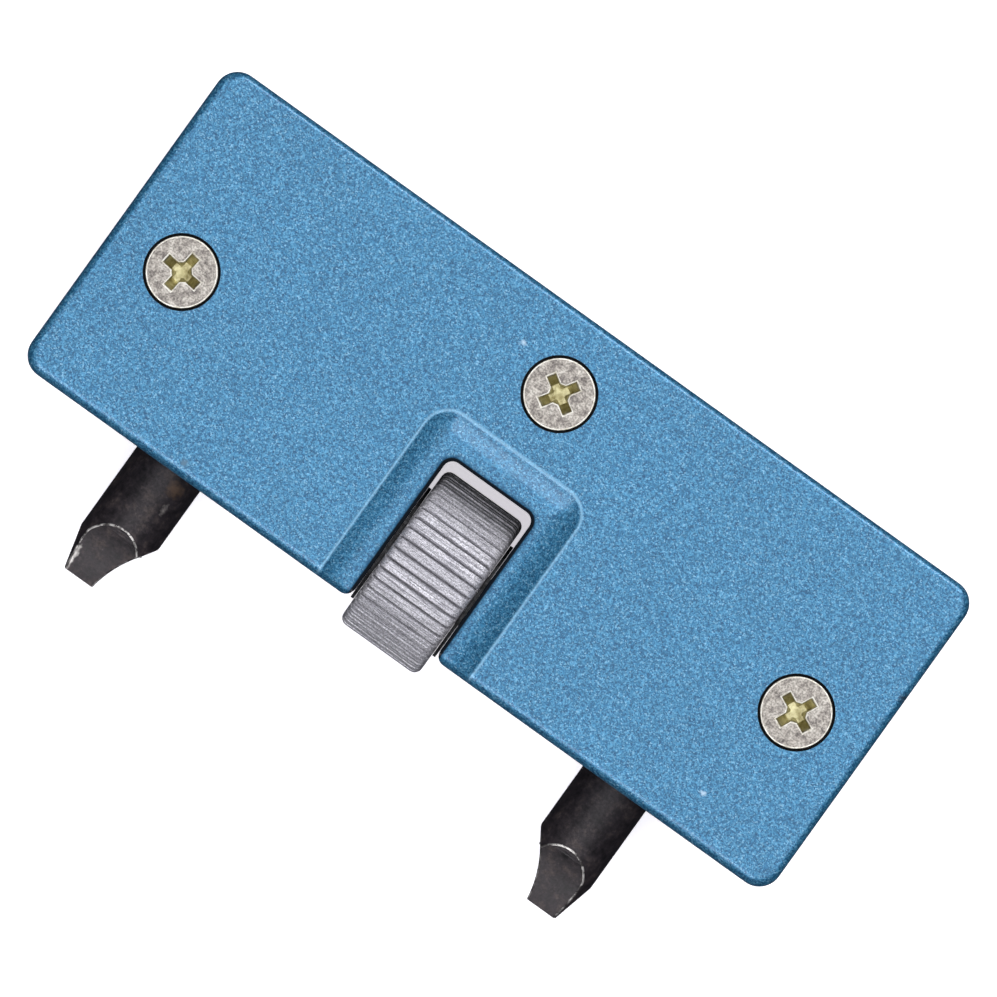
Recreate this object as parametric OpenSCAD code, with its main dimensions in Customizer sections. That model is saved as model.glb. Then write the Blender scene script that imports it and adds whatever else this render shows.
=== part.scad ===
// Two-claw case back opener for watches.
// A thumb wheel turns a spindle with a right-hand thread at one end and a left-hand thread at the
// other, so the two claws move in and out together and stay centred on the wheel.
// X runs along the body, Y across it with the claws at -Y, and Z from the rear face to the front.
// The origin is under the middle of the whole outline, in the plane of the rear face.

/* [Body] */
// Length of the body
body_l = 80; // [78:0.5:84]
// Width of the body
body_w = 32; // [31:0.5:36]
// Thickness of the body, both castings together
body_t = 17; // [16.8:0.2:19]
// Radius of the four corners in plan
corner_r = 2; // [1.4:0.2:3.2]
// Rounding along the edges of both faces
edge_r = 1.2; // [0.4:0.1:1.2]
// Wall thickness of the castings
wall = 2; // [1.8:0.1:2.2]

/* [Thumb wheel and its slot] */
// Diameter of the wheel over its ridges
wheel_d = 16.3; // [15:0.1:16.4]
// Width of the wheel
wheel_w = 8.4; // [8:0.1:8.4]
// Number of ridges around the rim
ridge_count = 46; // [36:2:60]
// Depth of the grooves between the ridges
ridge_h = 0.3; // [0.2:0.05:0.4]
// Rounding of the rim's two edges
wheel_edge_r = 0.6; // [0.5:0.1:1.2]
// Distance from the middle of the body to the spindle's axis
axis_drop = 10; // [9.8:0.1:10.2]
// Width of the slot for the wheel
slot_w = 9.2; // [9.2:0.1:9.6]
// Distance from the middle of the body down to the slot's closed end
slot_drop = 0.9; // [0.7:0.1:1.2]
// Width of the thumb recess at the face
recess_w = 16.2; // [15:0.2:18]
// Distance from the middle of the body up to the recess's closed end
recess_rise = 2.8; // [2:0.2:3.4]
// Depth of the thumb recess
recess_d = 0.9; // [0.8:0.1:1.5]

/* [Claws] */
// Diameter of each claw
claw_d = 6.8; // [6:0.1:6.8]
// Distance from the wheel's middle to each claw's axis, as drawn
claw_x = 24; // [14:0.5:29]
// How far the claws stand out of the body
claw_out = 12.4; // [11:0.2:14]
// Thickness of the blade at its tip
tip_t = 1.8; // [1.2:0.1:2.2]
// Radius of the hollow grind on both faces of the blade
grind_r = 12; // [11:0.5:14]

/* [Spindle] */
// Thread diameter of the spindle
thread_d = 4; // [3.5:0.1:4]
// Diameter of the plain middle that carries the wheel
hub_d = 5; // [4.6:0.1:5]
// Diameter of the plain ends
journal_d = 3; // [2.5:0.1:3]

/* [Cover screws] */
// Distance of the two end screws from the middle, along the body
screw_x = 32.9; // [32:0.1:33]
// Diameter of a screw's head
head_d = 6.3; // [5.5:0.1:6.4]
// Thickness of a screw's head
head_h = 2.1; // [1.6:0.1:2.2]
// Thread diameter of the cover screws
screw_d = 3; // [2.5:0.1:3]
// Length of a screw under its head
screw_l = 12; // [10:0.5:12]

/* [Hidden] */
$fn = 96;
eps = 0.5;                      // how far a cut runs past the face it opens

half_t = body_t / 2;            // each casting is half of the thickness
half_w = body_w / 2;
body_y = claw_out / 2;          // the middle of the body lies this far behind the origin
run = 0.05;                     // radial clearance of what turns

// Cavities of the castings, measured in the body's own axes
well_wall = 1.8;                // walls beside and behind the wheel
well_out = slot_w / 2 + well_wall;
channel_h = 5;                  // half height of the channel that the carriers run in
channel_low = -half_w + wall;
channel_high = channel_low + 9;
channel_end = body_l / 2 - 5;
rib = 1.6;                      // rib between the channel and the hollow behind it
hollow_h = half_t - wall;
claw_slot_half = claw_d / 2 + 0.2;
claw_slot_near = 9.7;
claw_slot_far = 33.4;
slot_corner_r = 0.9;

// Screw and dowel places
screw_y = -1.4;
centre_screw_y = 9.1;
boss_r = 4.2;
counterbore_r = 3.4;
clearance_r = screw_d / 2 + 0.15;
tapped_r = screw_d / 2 + 0.02;
tapped_depth = 6;
sink = 0.1;                     // the heads sit this far below the face
dowel_x = 20;
dowel_y = 10.6;
dowel_d = 2.5;
dowel_l = 8;
dowel_boss_r = 2.6;

// Carriers
carrier_in = 6.7;               // from the claw's axis towards the wheel
carrier_out = 4.6;              // from the claw's axis towards the body's end
carrier_play = 0.1;
nut_d = 6.2;
nut_l = 3.2;
spindle_gap_r = thread_d / 2 + 0.2;

// Bushes, washers and what the spindle passes through
bush_r = 3;
bush_l = 3.8;
journal_l = 3.4;                // how far the spindle's plain end reaches into its bush
washer_t = 0.3;
washer_r = 5.9;

// Claws and the pins that hold them
shank_top = channel_high - 0.4;
pin_d = 1.6;
pin_l = 9.4;
pin_y = channel_high - 1.5;
cone_l = 4;                     // the turned cone at the end of each claw
cone_drop = 1;                  // how much smaller its radius is at the tip
grind_back = 1.75;              // the grinding wheel's middle lies this far past the tip
hollow_r = 10.1;                // hollow on the side that faces the other claw
hollow_x = -10.6;
hollow_back = 1.4;

// The castings are drawn in the body's own axes and then set behind the origin
module in_body() {
  translate([0, body_y, 0]) children();
}

// Something round along the spindle's axis, from x0 to x1
module on_axis(x0, x1, r) {
  translate([x0, -axis_drop, half_t]) rotate([0, 90, 0]) cylinder(r = r, h = x1 - x0);
}

module rounded_rect(l, w, r) {
  square([l - 2 * r, w], center = true);
  square([l, w - 2 * r], center = true);
  for (sx = [-1, 1], sy = [-1, 1])
    translate([sx * (l / 2 - r), sy * (w / 2 - r)]) circle(r);
}

// Section of one casting: square at the joint face, rounded at the outer face
module edge_section(w) {
  translate([-w / 2, 0]) square([w, half_t - edge_r]);
  translate([-w / 2 + edge_r, 0]) square([w - 2 * edge_r, half_t]);
  for (s = [-1, 1])
    translate([s * (w / 2 - edge_r), half_t - edge_r]) circle(edge_r);
}

module solid_half() {
  intersection() {
    linear_extrude(half_t) rounded_rect(body_l, body_w, corner_r);
    rotate([90, 0, 90]) translate([0, 0, -body_l / 2]) linear_extrude(body_l) edge_section(body_w);
    rotate([90, 0, 0]) translate([0, 0, -body_w / 2]) linear_extrude(body_w) edge_section(body_l);
  }
}

// Plan of the wheel slot: rounded at its closed end, flared by a radius at the body's edge
module slot_plan() {
  r = slot_corner_r;
  translate([-slot_w / 2, -half_w - eps]) square([slot_w, half_w - slot_drop - r + eps]);
  translate([-slot_w / 2 + r, -half_w]) square([slot_w - 2 * r, half_w - slot_drop]);
  for (s = [-1, 1]) {
    translate([s * (slot_w / 2 - r), -slot_drop - r]) circle(r);
    difference() {
      translate([s * (slot_w + r) / 2, -half_w + (r - eps) / 2]) square([r, r + eps], center = true);
      translate([s * (slot_w / 2 + r), -half_w + r]) circle(r);
    }
  }
}

// Thumb recess with sloping walls, open at the edge that the claws come out of
module thumb_recess() {
  top = half_t;
  floor_z = half_t - recess_d;
  w = recess_w / 2;
  intersection() {
    rotate([90, 0, 0]) translate([0, 0, -recess_rise]) linear_extrude(recess_rise + half_w + eps)
      polygon([[-w + recess_d, floor_z], [w - recess_d, floor_z], [w, top], [w + eps, top + eps],
               [-w - eps, top + eps], [-w, top]]);
    rotate([90, 0, 90]) translate([0, 0, -recess_w]) linear_extrude(2 * recess_w)
      polygon([[-half_w - eps, floor_z], [recess_rise - recess_d, floor_z],
               [recess_rise, top], [recess_rise, top + eps], [-half_w - eps, top + eps]]);
  }
}

// Hollow behind the channel, around the screw and dowel bosses and the wheel well
module rear_hollow() {
  low = channel_high + rib;
  high = half_w - wall;
  difference() {
    translate([-body_l / 2 + wall, low, -eps]) cube([body_l - 2 * wall, high - low, hollow_h + eps]);
    translate([-well_out, low - eps, -1]) cube([2 * well_out, well_wall - slot_drop - low + eps, half_t]);
    translate([-recess_w / 2, low - eps, hollow_h - recess_d])
      cube([recess_w, recess_rise - low + eps, half_t]);
    for (x = [-screw_x, screw_x])
      translate([x, screw_y, -1]) cylinder(r = boss_r, h = half_t);
    translate([0, centre_screw_y, -1]) cylinder(r = boss_r, h = half_t);
    for (x = [-dowel_x, dowel_x])
      translate([x, dowel_y, -1]) cylinder(r = dowel_boss_r, h = half_t);
  }
}

// One casting with its joint face at z = 0 and its outer face up
module casting() {
  difference() {
    solid_half();
    rear_hollow();
    thumb_recess();
    translate([0, 0, -eps]) linear_extrude(half_t + 2 * eps) slot_plan();
    for (s = [0, 1]) mirror([s, 0, 0]) {
      translate([well_out, channel_low, -eps])
        cube([channel_end - well_out, channel_high - channel_low, channel_h + eps]);
      translate([claw_slot_near, -half_w - eps, -eps])
        cube([claw_slot_far - claw_slot_near, wall + 2 * eps, claw_slot_half + eps]);
      translate([0, -axis_drop, 0]) rotate([0, 90, 0]) cylinder(r = hub_d / 2 + run, h = well_out + eps);
      translate([channel_end - eps, -axis_drop, 0]) rotate([0, 90, 0]) cylinder(r = bush_r, h = bush_l + eps);
      translate([dowel_x, dowel_y, -eps]) cylinder(d = dowel_d, h = dowel_l / 2 + eps);
    }
  }
}

module at_screws() {
  for (x = [-screw_x, screw_x])
    translate([x, screw_y, 0]) children();
  translate([0, centre_screw_y, 0]) children();
}

module front_cover() {
  color([0.30, 0.55, 0.72]) in_body() translate([0, 0, half_t]) difference() {
    casting();
    at_screws() {
      translate([0, 0, -eps]) cylinder(r = clearance_r, h = half_t + 2 * eps);
      translate([0, 0, half_t - head_h - sink]) cylinder(r = counterbore_r, h = head_h + eps);
    }
  }
}

module rear_housing() {
  color([0.28, 0.52, 0.70]) in_body() translate([0, 0, half_t]) mirror([0, 0, 1]) difference() {
    casting();
    at_screws() translate([0, 0, -eps]) cylinder(r = tapped_r, h = tapped_depth + eps);
  }
}

// Cross-recessed screw, turned about its axis, with its head just below the front face
module cover_screw(x, y, turn) {
  arm_l = 4.3;
  arm_w = 0.95;
  recess_deep = 1.5;
  seat_z = body_t - sink - head_h;
  color([0.66, 0.66, 0.62]) in_body() translate([x, y, seat_z]) rotate([0, 0, turn]) difference() {
    union() {
      cylinder(d = head_d, h = head_h - 0.25);
      translate([0, 0, head_h - 0.25]) cylinder(d1 = head_d, d2 = head_d - 0.5, h = 0.25);
      translate([0, 0, -screw_l + 0.5]) cylinder(d = screw_d, h = screw_l - 0.5);
      translate([0, 0, -screw_l]) cylinder(d1 = screw_d - 0.8, d2 = screw_d, h = 0.5);
    }
    for (a = [0, 90])
      rotate([0, 0, a]) translate([-arm_l / 2, -arm_w / 2, head_h - recess_deep])
        cube([arm_l, arm_w, recess_deep + eps]);
  }
}

module cover_screw_left() { cover_screw(-screw_x, screw_y, -7); }
module cover_screw_centre() { cover_screw(0, centre_screw_y, 58); }
module cover_screw_right() { cover_screw(screw_x, screw_y, -25); }

// Steel dowel that lines up the two castings
module dowel(x) {
  c = 0.3;
  color([0.72, 0.72, 0.72]) in_body() translate([x, dowel_y, half_t - dowel_l / 2]) rotate_extrude()
    polygon([[0, 0], [dowel_d / 2 - c, 0], [dowel_d / 2, c], [dowel_d / 2, dowel_l - c],
             [dowel_d / 2 - c, dowel_l], [0, dowel_l]]);
}

module dowel_left() { dowel(-dowel_x); }
module dowel_right() { dowel(dowel_x); }

// Rim of the wheel: straight ridges, each with a narrow flat top
module ridged_outline() {
  step = 360 / ridge_count;
  top_r = wheel_d / 2;
  low_r = top_r - ridge_h;
  polygon([for (i = [0 : ridge_count - 1], p = [[0, low_r], [0.22, top_r], [0.78, top_r]])
    let (a = (i + p[0]) * step) [p[1] * cos(a), p[1] * sin(a)]]);
}

// The ridges stop where the rim's two edges begin to round off
module thumb_wheel() {
  r = wheel_edge_r;
  ridge_end = 0.6 * r;
  core_r = wheel_d / 2 - ridge_h - 0.05;
  color([0.78, 0.78, 0.78]) in_body() difference() {
    translate([-wheel_w / 2, -axis_drop, half_t]) rotate([0, 90, 0]) union() {
      translate([0, 0, ridge_end]) linear_extrude(wheel_w - 2 * ridge_end) ridged_outline();
      rotate_extrude() union() {
        square([core_r - r, wheel_w]);
        translate([0, r]) square([core_r, wheel_w - 2 * r]);
        for (y = [r, wheel_w - r])
          translate([core_r - r, y]) circle(r);
      }
    }
    on_axis(-wheel_w, wheel_w, hub_d / 2);
  }
}

// One rod: plain middle, a threaded length each side drawn at its outside diameter, plain ends
module spindle() {
  journal_end = channel_end + journal_l;
  thread_end = channel_end - 1;
  c = 0.4;
  color([0.62, 0.62, 0.64]) in_body() translate([0, -axis_drop, half_t]) rotate([0, 90, 0])
    translate([0, 0, -journal_end]) rotate_extrude()
      polygon([[0, 0], [journal_d / 2 - c, 0], [journal_d / 2, c],
               [journal_d / 2, journal_end - thread_end - c],
               [thread_d / 2, journal_end - thread_end],
               [thread_d / 2, journal_end - well_out], [hub_d / 2, journal_end - well_out],
               [hub_d / 2, journal_end + well_out], [thread_d / 2, journal_end + well_out],
               [thread_d / 2, journal_end + thread_end],
               [journal_d / 2, journal_end + thread_end + c],
               [journal_d / 2, 2 * journal_end - c], [journal_d / 2 - c, 2 * journal_end],
               [0, 2 * journal_end]]);
}

// Thin steel washer between the wheel and the wall of its well
module thrust_washer(side) {
  mid = (wheel_w + slot_w) / 4;
  color([0.70, 0.70, 0.72]) in_body() difference() {
    on_axis(side * mid - washer_t / 2, side * mid + washer_t / 2, washer_r);
    on_axis(side * mid - washer_t, side * mid + washer_t, hub_d / 2 + run);
  }
}

module thrust_washer_left() { thrust_washer(-1); }
module thrust_washer_right() { thrust_washer(1); }

// Brass bush for the spindle's end, clamped between the castings
module end_bush(side) {
  near = channel_end;
  far = near + bush_l;
  x0 = side > 0 ? near : -far;
  x1 = side > 0 ? far : -near;
  color([0.80, 0.62, 0.30]) in_body() difference() {
    on_axis(x0, x1, bush_r);
    on_axis(x0 - eps, x1 + eps, journal_d / 2 + run);
  }
}

module end_bush_left() { end_bush(-1); }
module end_bush_right() { end_bush(1); }

// A jaw's pieces are drawn for the right side, with the claw's axis at x = 0, and mirrored
module jaw(side) {
  in_body() mirror([side > 0 ? 0 : 1, 0, 0]) translate([claw_x, 0, 0]) children();
}

// Sliding block that carries the claw and its nut
module carrier(side) {
  low = channel_low + 2 * carrier_play;
  high = channel_high - 2 * carrier_play;
  h = channel_h - carrier_play;
  c = 0.5;
  color([0.58, 0.58, 0.60]) jaw(side) difference() {
    translate([-carrier_in, 0, half_t]) rotate([90, 0, 90]) linear_extrude(carrier_in + carrier_out)
      polygon([[low, -h + c], [low + c, -h], [high - c, -h], [high, -h + c],
               [high, h - c], [high - c, h], [low + c, h], [low, h - c]]);
    on_axis(-carrier_in - eps, -carrier_in + nut_l, nut_d / 2);
    on_axis(-carrier_in - eps, carrier_out + eps, spindle_gap_r);
    translate([0, high + eps, half_t]) rotate([90, 0, 0]) cylinder(d = claw_d, h = high - low + 2 * eps);
    translate([0, pin_y, -eps]) cylinder(d = pin_d, h = body_t);
  }
}

module carrier_left() { carrier(-1); }
module carrier_right() { carrier(1); }

// Round brass nut pressed into the carrier; the left one has a left-hand thread
module nut(side) {
  color([0.82, 0.65, 0.32]) jaw(side) difference() {
    on_axis(-carrier_in, -carrier_in + nut_l, nut_d / 2);
    on_axis(-carrier_in - eps, -carrier_in + nut_l + eps, thread_d / 2 + run);
  }
}

module nut_left() { nut(-1); }
module nut_right() { nut(1); }

// Claw: round shank turned to a short cone, hollow ground to a blade on its front and back, and
// hollowed below a sloping shoulder on the side that faces the other claw
module claw(side) {
  tip = -half_w - claw_out;
  r = claw_d / 2;
  grind_z = tip_t / 2 + sqrt(grind_r * grind_r - grind_back * grind_back);
  shoulder = tip + 6.1;
  foot = shoulder - 1.5;
  foot_x = hollow_x + sqrt(hollow_r * hollow_r - pow(foot - tip + hollow_back, 2));
  color([0.17, 0.16, 0.17]) jaw(side) difference() {
    translate([0, shank_top, half_t]) rotate([90, 0, 0]) union() {
      cylinder(r = r, h = shank_top - tip - cone_l);
      translate([0, 0, shank_top - tip - cone_l]) cylinder(r1 = r, r2 = r - cone_drop, h = cone_l);
    }
    for (s = [-1, 1])
      translate([-claw_d, tip - grind_back, half_t + s * grind_z]) rotate([0, 90, 0])
        cylinder(r = grind_r, h = 2 * claw_d);
    translate([hollow_x, tip - hollow_back, -eps]) cylinder(r = hollow_r, h = body_t);
    translate([0, 0, -eps]) linear_extrude(body_t)
      polygon([[-r - eps, shoulder], [-r - 0.05, shoulder], [foot_x, foot], [-r - eps, foot]]);
    on_axis(-claw_d, claw_d, spindle_gap_r);
    translate([0, pin_y, -eps]) cylinder(d = pin_d, h = body_t);
  }
}

module claw_left() { claw(-1); }
module claw_right() { claw(1); }

// Slit spring pin through the carrier and the top of the claw
module claw_pin(side) {
  color([0.55, 0.55, 0.56]) jaw(side) translate([0, pin_y, half_t - pin_l / 2]) difference() {
    cylinder(d = pin_d, h = pin_l);
    translate([0, 0, -eps]) cylinder(d = pin_d / 2, h = pin_l + 2 * eps);
    translate([0, -0.15, -eps]) cube([pin_d, 0.3, pin_l + 2 * eps]);
  }
}

module claw_pin_left() { claw_pin(-1); }
module claw_pin_right() { claw_pin(1); }

front_cover();
rear_housing();
cover_screw_left();
cover_screw_centre();
cover_screw_right();
dowel_left();
dowel_right();
thumb_wheel();
spindle();
thrust_washer_left();
thrust_washer_right();
end_bush_left();
end_bush_right();
carrier_left();
carrier_right();
nut_left();
nut_right();
claw_left();
claw_right();
claw_pin_left();
claw_pin_right();
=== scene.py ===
from math import pi, radians, sqrt

import bmesh
import bpy
from mathutils import Matrix, Vector


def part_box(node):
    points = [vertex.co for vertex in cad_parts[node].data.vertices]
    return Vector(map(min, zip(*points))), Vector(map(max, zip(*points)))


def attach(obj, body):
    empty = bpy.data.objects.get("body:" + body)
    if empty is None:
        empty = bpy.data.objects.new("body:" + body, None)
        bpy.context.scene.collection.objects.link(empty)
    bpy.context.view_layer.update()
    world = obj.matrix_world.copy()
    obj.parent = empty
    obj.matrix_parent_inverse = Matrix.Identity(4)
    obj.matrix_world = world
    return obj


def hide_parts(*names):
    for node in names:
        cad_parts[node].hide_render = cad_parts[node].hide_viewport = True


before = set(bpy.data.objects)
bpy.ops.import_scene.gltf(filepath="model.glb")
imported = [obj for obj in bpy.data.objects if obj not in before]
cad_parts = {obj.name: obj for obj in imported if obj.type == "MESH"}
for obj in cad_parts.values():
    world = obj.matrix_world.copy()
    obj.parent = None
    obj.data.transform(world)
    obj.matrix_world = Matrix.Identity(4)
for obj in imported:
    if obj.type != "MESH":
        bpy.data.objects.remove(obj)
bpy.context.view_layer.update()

scene = bpy.context.scene

# Stage. The tool lies on its rear face on white paper, seen from straight above its front face
# through a long lens, with the body turned on the table. One panel stands beyond the claws, a broad
# one hangs overhead, a weak one fills the far side, and the room is dark towards the horizon.
case_low, case_high = (Vector(corner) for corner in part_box("front_cover"))
body_middle = (case_low + case_high) / 2
FACE_TOP = case_high.z
BODY_TURN = radians(35.62)      # how far the body is turned on the table
VIEW_WIDTH = 0.08674            # what the camera takes in at the height of the face
LENS, SENSOR = 600, 36
AIM = Vector((0.00098, -0.00136, 0))

camera = bpy.data.objects.new("camera", bpy.data.cameras.new("camera"))
camera.data.lens = LENS
camera.data.sensor_width = SENSOR
camera.data.clip_start = 0.01
camera.location = (body_middle.x + AIM.x, body_middle.y + AIM.y, FACE_TOP + VIEW_WIDTH * LENS / SENSOR)
camera.rotation_euler = (0, 0, BODY_TURN)
scene.collection.objects.link(camera)
scene.camera = camera
scene.view_settings.view_transform = "Standard"


def panel_light(name, place, size, power):
    light = bpy.data.lights.new(name, "AREA")
    light.shape = "RECTANGLE"
    light.size, light.size_y = size
    light.energy = power
    holder = bpy.data.objects.new(name, light)
    holder.location = place
    holder.rotation_euler = Vector(place).to_track_quat("Z", "Y").to_euler()
    holder.visible_camera = False
    scene.collection.objects.link(holder)


panel_light("claw_side_panel", (-0.05, -0.60, 0.70), (0.5, 0.40), 3.8)
panel_light("overhead_panel", (0.10, 0, 0.95), (0.9, 0.9), 4.4)
panel_light("far_fill_panel", (0.04, 0.62, 0.60), (0.5, 0.3), 4.6)


def node(owner, kind, inputs=None, **settings):
    """Adds a shader node. An input is a value, or the output of an earlier node."""
    made = owner.node_tree.nodes.new(kind)
    for key, value in settings.items():
        setattr(made, key, value)
    for key, value in (inputs or {}).items():
        if isinstance(value, bpy.types.NodeSocket):
            owner.node_tree.links.new(value, made.inputs[key])
        else:
            made.inputs[key].default_value = value
    return made


def ramp(owner, factor, *stops):
    """A colour ramp: each stop is a place from 0 to 1 and a colour or a grey."""
    made = node(owner, "ShaderNodeValToRGB", {"Fac": factor})
    elements = made.color_ramp.elements
    while len(elements) < len(stops):
        elements.new(0.5)
    for element, (place, colour) in zip(elements, stops):
        element.position = place
        element.color = (colour, colour, colour, 1) if isinstance(colour, float) else (*colour, 1)
    return made.outputs["Color"]


def link(owner, output, socket):
    owner.node_tree.links.new(output, socket)


room = bpy.data.worlds.new("room")
room.use_nodes = True
up = node(room, "ShaderNodeSeparateXYZ", {"Vector": node(room, "ShaderNodeTexCoord").outputs["Generated"]})
room_grey = ramp(room, up.outputs["Z"], (0.0, (0.040, 0.040, 0.050)), (0.45, (0.095, 0.100, 0.115)),
                 (0.68, (0.20, 0.21, 0.23)), (1.0, (0.26, 0.27, 0.29)))
link(room, room_grey, room.node_tree.nodes["Background"].inputs["Color"])
scene.world = room

TABLE_WIDE, TABLE_GAP = 3, 0.0002
bpy.ops.mesh.primitive_plane_add(size=TABLE_WIDE, location=(0, 0, -TABLE_GAP))
table = bpy.context.object
table.name = "table_top"
table.visible_diffuse = False
table.visible_glossy = False
table_paper = bpy.data.materials.new("table_paper")
table_paper.use_nodes = True
paper = table_paper.node_tree.nodes["Principled BSDF"]
paper.inputs["Base Color"].default_value = (0.90, 0.90, 0.90, 1)
paper.inputs["Roughness"].default_value = 0.9
paper.inputs["Emission Color"].default_value = (0.97, 0.94, 1.0, 1)
paper.inputs["Emission Strength"].default_value = 0.64
table.data.materials.append(table_paper)

# Castings. Two zinc die castings meet at mid thickness: the front cover with the screw
# counterbores, and the rear housing with the tapped bosses. Both have the thumb recess, the wheel
# slot and half of every cavity inside, and are sprayed with a fine metallic blue paint.
MM = 1000
EDGE_ROUND = 1.15               # millimetres from here on, in the body's own axes
SLIM_EDGE = 0.62                # the other three edges are rounded less than the claws' one
CORNER_ROUND = 2.1
HALF_T = (case_high.z - case_low.z) * MM
HALF_L = (case_high.x - case_low.x) * MM / 2
HALF_W = (case_high.y - case_low.y) * MM / 2
BACK_EDGE_ROUND = 0.12          # along the parting line
RECESS_HALF, RECESS_TOP, RECESS_DEEP = 8.1, 2.8, 0.9
RECESS_CORNER, RECESS_SLOPE, RECESS_LIP = 2.5, 3.2, 0.3
BEAD_HALF, BEAD_HIGH = 0.24, 0.04
SLOT_HALF, SLOT_TOP, SLOT_CORNER = 4.6, -0.9, 0.9
CHANNEL_LOW, CHANNEL_HIGH, CHANNEL_DEEP = -14.0, -5.0, 5.0
CLAW_SLOT_IN, CLAW_SLOT_OUT, CLAW_SLOT_HALF = 9.7, 33.4, 3.6
AXIS_Y = -10.0                  # the spindle's axis lies in the parting plane
HUB_SEAT_R, HUB_SEAT_FROM, HUB_SEAT_TO = 2.55, 4, 6.9
BUSH_SEAT_R, BUSH_SEAT_FROM, BUSH_SEAT_TO = 3.0, 34.5, 38.8
WALL, WELL_WALL = 2, 1.8
SCREW_PLACES = {"left": (-32.9, -1.4), "centre": (0, 9.1), "right": (32.9, -1.4)}
BOSS_R, CLEARANCE_R, TAPPING_R, TAPPING_DEEP = 4.2, 1.65, 1.52, 6
COUNTERBORE_R, COUNTERBORE_DEEP = 3.4, 2.2
DOWEL_X, DOWEL_Y, DOWEL_R, DOWEL_DEEP, DOWEL_BOSS_R = 20, 10.6, 1.25, 4, 2.6


def edit(piece, kind="FACE"):
    """Only this piece selected, in edit mode, with nothing in it selected."""
    if bpy.context.object and bpy.context.object.mode == "EDIT":
        bpy.ops.object.mode_set(mode="OBJECT")
    bpy.ops.object.select_all(action="DESELECT")
    piece.select_set(True)
    bpy.context.view_layer.objects.active = piece
    bpy.ops.object.mode_set(mode="EDIT")
    bpy.ops.mesh.select_mode(type=kind)
    bpy.ops.mesh.select_all(action="DESELECT")


def done():
    bpy.ops.object.mode_set(mode="OBJECT")


def pick(piece, test, kind="FACE"):
    """Selects the faces, edges or vertices that pass a test, and stays in edit mode."""
    edit(piece, kind)
    mesh = bmesh.from_edit_mesh(piece.data)
    parts = {"FACE": mesh.faces, "EDGE": mesh.edges, "VERT": mesh.verts}[kind]
    for part in [part for part in parts if test(part)]:
        part.select_set(True)
    mesh.select_flush_mode()
    bmesh.update_edit_mesh(piece.data)


def named(name):
    """The object that an operator has just added, with its own name."""
    piece = bpy.context.object
    piece.name = name
    piece.data.name = name
    return piece


def block(name, low, high):
    """A cube primitive stretched between two corners."""
    if bpy.context.object and bpy.context.object.mode == "EDIT":
        done()
    low, high = Vector(low), Vector(high)
    bpy.ops.mesh.primitive_cube_add(size=1, location=(low + high) / 2, scale=high - low)
    piece = named(name)
    bpy.ops.object.transform_apply(location=True, rotation=False, scale=True)
    return piece


def round_bar(name, radius, start, end, sides=64):
    """A cylinder primitive from one point to another."""
    if bpy.context.object and bpy.context.object.mode == "EDIT":
        done()
    start, end = Vector(start), Vector(end)
    turn = (end - start).to_track_quat("Z", "Y").to_euler()
    bpy.ops.mesh.primitive_cylinder_add(vertices=sides, radius=radius, depth=(end - start).length,
                                        location=(start + end) / 2, rotation=turn)
    piece = named(name)
    bpy.ops.object.transform_apply(location=True, rotation=True, scale=True)
    return piece


def apply_modifier(piece, kind, **settings):
    if piece.mode == "EDIT":
        done()
    bpy.ops.object.select_all(action="DESELECT")
    piece.select_set(True)
    bpy.context.view_layer.objects.active = piece
    modifier = piece.modifiers.new(kind.lower(), kind)
    for key, value in settings.items():
        setattr(modifier, key, value)
    bpy.ops.object.modifier_apply(modifier=modifier.name)


def cut(piece, cutter, operation="DIFFERENCE"):
    """Takes a cutter from a piece, or joins it on, and throws the cutter away."""
    apply_modifier(piece, "BOOLEAN", object=cutter, operation=operation, solver="EXACT")
    bpy.data.objects.remove(cutter, do_unlink=True)


def slice_along(piece, axis, places):
    """Cuts right through the mesh at each place, so that it has edges to bend at."""
    edit(piece)
    direction = Vector((axis == "X", axis == "Y", axis == "Z"))
    for place in places:
        bpy.ops.mesh.select_all(action="SELECT")
        bpy.ops.mesh.bisect(plane_co=direction * place, plane_no=direction, use_fill=False, threshold=1e-5)
    done()


def bevel_picked(offset, segments):
    bpy.ops.mesh.bevel(offset=offset, segments=segments, profile=0.5, affect="EDGES",
                       clamp_overlap=True)
    done()


def spaced(first, last, step):
    count = max(1, round((last - first) / step))
    return [first + (last - first) * i / count for i in range(count + 1)]


def inside_outline(x, y, half, top, corner):
    """How far a point lies inside an outline with two round corners; negative outside it."""
    qx = abs(x) - (half - corner)
    qy = y - (top - corner)
    return corner - sqrt(max(qx, 0) ** 2 + max(qy, 0) ** 2) - min(max(qx, qy), 0)


def recess_depth(inside):
    """The recess dips steeply at its rim and levels out towards the slot."""
    inside = inside ** 2 / (2 * RECESS_LIP) if inside < RECESS_LIP else inside - RECESS_LIP / 2
    level = 1 - min(inside / RECESS_SLOPE, 1)
    return RECESS_DEEP * (1 - level * level)


casting = block("casting", (-HALF_L, -HALF_W, 0), (HALF_L, HALF_W, HALF_T))
pick(casting, lambda e: abs(e.verts[0].co.z - e.verts[1].co.z) > 1, "EDGE")
bevel_picked(CORNER_ROUND, 10)
weights = casting.data.attributes.new("bevel_weight_edge", "FLOAT", "EDGE")
for rim, weight in zip(casting.data.edges, weights.data):
    ends = [casting.data.vertices[i].co for i in rim.vertices]
    if min(end.z for end in ends) > HALF_T - 0.001:
        towards_claws = 1 - ((ends[0].y + ends[1].y) / 2 + HALF_W) / CORNER_ROUND
        weight.value = SLIM_EDGE + (1 - SLIM_EDGE) * min(max(towards_claws, 0), 1)
apply_modifier(casting, "BEVEL", width=EDGE_ROUND, segments=9, limit_method="WEIGHT")
pick(casting, lambda e: max(v.co.z for v in e.verts) < 0.001, "EDGE")
bevel_picked(BACK_EDGE_ROUND, 2)

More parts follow.
